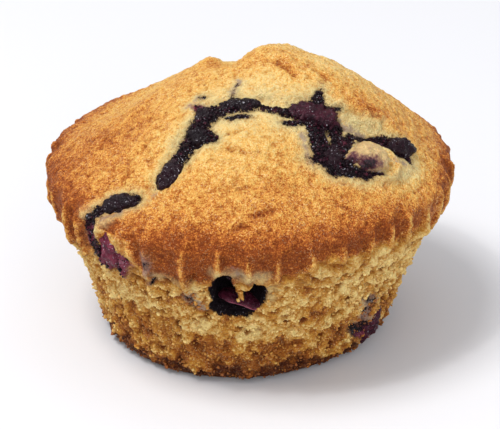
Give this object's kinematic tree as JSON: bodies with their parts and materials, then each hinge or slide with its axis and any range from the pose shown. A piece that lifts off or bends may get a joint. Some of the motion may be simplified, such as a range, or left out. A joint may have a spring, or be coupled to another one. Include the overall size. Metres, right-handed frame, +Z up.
{
  "type": "berry muffin",
  "caption": "Domed berry muffin baked in a pleated case, with a cracked golden crust, burst dark berries and a pale crumb side that narrows to a flat base.",
  "frame": {"origin": "on the ground under the middle of the muffin's bounding box", "axes": "+Z up; the front with the berry-filled crack faces -Y; +X to the right of that view"},
  "size_m": [0.08, 0.0796, 0.0563],
  "materials": {
    "cake": "golden brown baked crust over an open pale crumb, matt",
    "berry": "dark cooked berry skin with juice, wet and glossy",
    "covered_berry": "berry under a thin coat of crumb, matt with purple stains"
  },
  "bodies": {
    "root": {"muffin": "cake", "berry_crack_left_low": "berry", "berry_crack_left_mid": "berry", "berry_crack_left_top": "berry", "berry_crack_upper": "berry", "berry_crack_middle": "berry", "berry_crack_middle_low": "berry", "berry_crumb_covered": "covered_berry", "berry_right": "berry", "berry_rim_left": "berry", "berry_back_dome": "berry", "berry_rim_split": "berry", "berry_low_right": "berry", "berry_back_wall": "berry", "berry_in_hole": "berry"}
  },
  "joints": []
}
